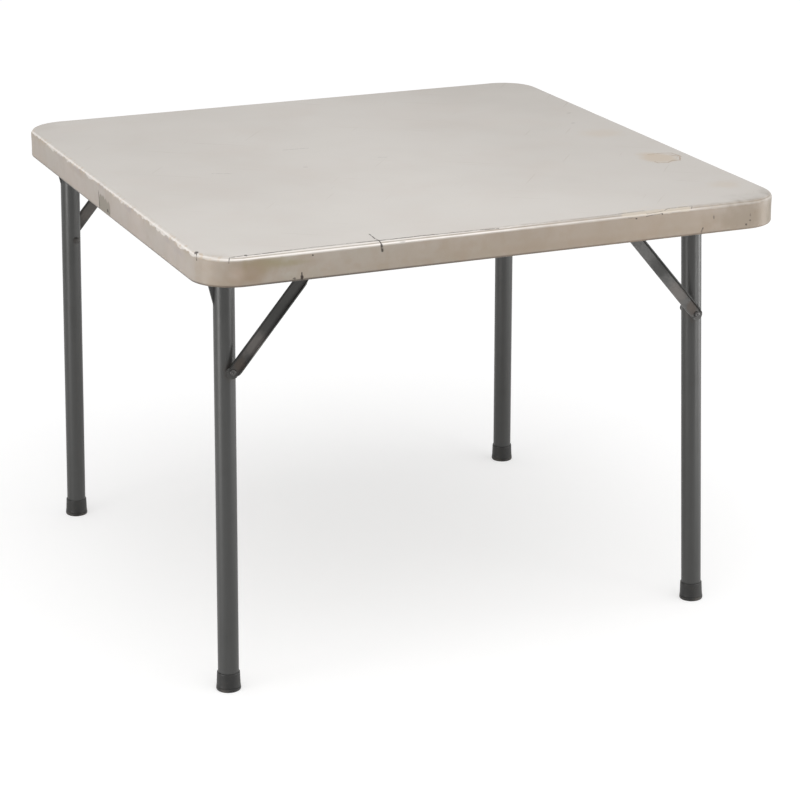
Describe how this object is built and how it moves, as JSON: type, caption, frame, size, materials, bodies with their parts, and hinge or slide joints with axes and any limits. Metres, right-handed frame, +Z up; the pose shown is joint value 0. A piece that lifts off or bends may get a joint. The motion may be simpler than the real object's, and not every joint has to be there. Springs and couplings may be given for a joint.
{
  "type": "folding card table",
  "caption": "Square folding card table: moulded plastic top with a deep rim on folding steel tube leg frames held by diagonal braces.",
  "frame": {"origin": "on the floor under the middle of the top", "axes": "+Z up; X runs from the left legs to the right legs, the way the frames fold; -Y is the front edge"},
  "size_m": [0.94, 0.94, 0.69],
  "materials": {
    "top_plastic": "satin",
    "frame_enamel": "satin",
    "brace_enamel": "satin",
    "black_plastic": "matte",
    "rivet_steel": "satin",
    "zinc_screw": "satin",
    "track_aluminium": "satin",
    "spring_steel": "satin",
    "bush_nylon": "satin"
  },
  "bodies": {
    "root": {"tabletop": "top_plastic", "track_screws": "zinc_screw", "strap_screws": "zinc_screw", "left_front_track": "track_aluminium", "left_front_catch_spring": "spring_steel", "left_front_pivot_strap": "frame_enamel", "left_front_pivot_bush": "bush_nylon", "left_back_track": "track_aluminium", "left_back_catch_spring": "spring_steel", "left_back_pivot_strap": "frame_enamel", "left_back_pivot_bush": "bush_nylon", "right_front_track": "track_aluminium", "right_front_catch_spring": "spring_steel", "right_front_pivot_strap": "frame_enamel", "right_front_pivot_bush": "bush_nylon", "right_back_track": "track_aluminium", "right_back_catch_spring": "spring_steel", "right_back_pivot_strap": "frame_enamel", "right_back_pivot_bush": "bush_nylon"},
    "left_frame": {"left_cross_tube": "frame_enamel", "left_tube_plugs": "black_plastic", "left_front_leg": "frame_enamel", "left_front_stop_plate": "frame_enamel", "left_front_foot": "black_plastic", "left_front_spacer": "bush_nylon", "left_front_rivet": "rivet_steel", "left_back_leg": "frame_enamel", "left_back_stop_plate": "frame_enamel", "left_back_foot": "black_plastic", "left_back_spacer": "bush_nylon", "left_back_rivet": "rivet_steel"},
    "left_front_brace": {"left_front_brace": "brace_enamel", "left_front_guide_wheel": "black_plastic", "left_front_wheel_pin": "rivet_steel"},
    "left_back_brace": {"left_back_brace": "brace_enamel", "left_back_guide_wheel": "black_plastic", "left_back_wheel_pin": "rivet_steel"},
    "right_frame": {"right_cross_tube": "frame_enamel", "right_tube_plugs": "black_plastic", "right_front_leg": "frame_enamel", "right_front_stop_plate": "frame_enamel", "right_front_foot": "black_plastic", "right_front_spacer": "bush_nylon", "right_front_rivet": "rivet_steel", "right_back_leg": "frame_enamel", "right_back_stop_plate": "frame_enamel", "right_back_foot": "black_plastic", "right_back_spacer": "bush_nylon", "right_back_rivet": "rivet_steel"},
    "right_front_brace": {"right_front_brace": "brace_enamel", "right_front_guide_wheel": "black_plastic", "right_front_wheel_pin": "rivet_steel"},
    "right_back_brace": {"right_back_brace": "brace_enamel", "right_back_guide_wheel": "black_plastic", "right_back_wheel_pin": "rivet_steel"}
  },
  "joints": [
    {"name": "left_frame_fold", "type": "hinge", "parent": "root", "child": "left_frame", "pos_m": [-0.41236, 0, 0.64948], "axis": [0, -1, 0], "range_deg": [0, 90]},
    {"name": "left_front_brace_swing", "type": "hinge", "parent": "left_frame", "child": "left_front_brace", "pos_m": [-0.40955, -0.41037, 0.502], "axis": [0, 1, 0], "range_deg": [0, 139.41]},
    {"name": "left_back_brace_swing", "type": "hinge", "parent": "left_frame", "child": "left_back_brace", "pos_m": [-0.40955, 0.41037, 0.502], "axis": [0, 1, 0], "range_deg": [0, 139.41]},
    {"name": "right_frame_fold", "type": "hinge", "parent": "root", "child": "right_frame", "pos_m": [0.37696, 0, 0.64948], "axis": [0, 1, 0], "range_deg": [0, 88.5]},
    {"name": "right_front_brace_swing", "type": "hinge", "parent": "right_frame", "child": "right_front_brace", "pos_m": [0.37524, -0.36956, 0.486], "axis": [0, -1, 0], "range_deg": [0, 136.57]},
    {"name": "right_back_brace_swing", "type": "hinge", "parent": "right_frame", "child": "right_back_brace", "pos_m": [0.37524, 0.36956, 0.486], "axis": [0, -1, 0], "range_deg": [0, 136.57]}
  ],
  "couplings": [
    {"joint": "left_front_brace_swing", "follows": "left_frame_fold", "ratio": 1.5478},
    {"joint": "left_back_brace_swing", "follows": "left_frame_fold", "ratio": 1.5478},
    {"joint": "right_front_brace_swing", "follows": "right_frame_fold", "ratio": 1.5421},
    {"joint": "right_back_brace_swing", "follows": "right_frame_fold", "ratio": 1.5421}
  ]
}
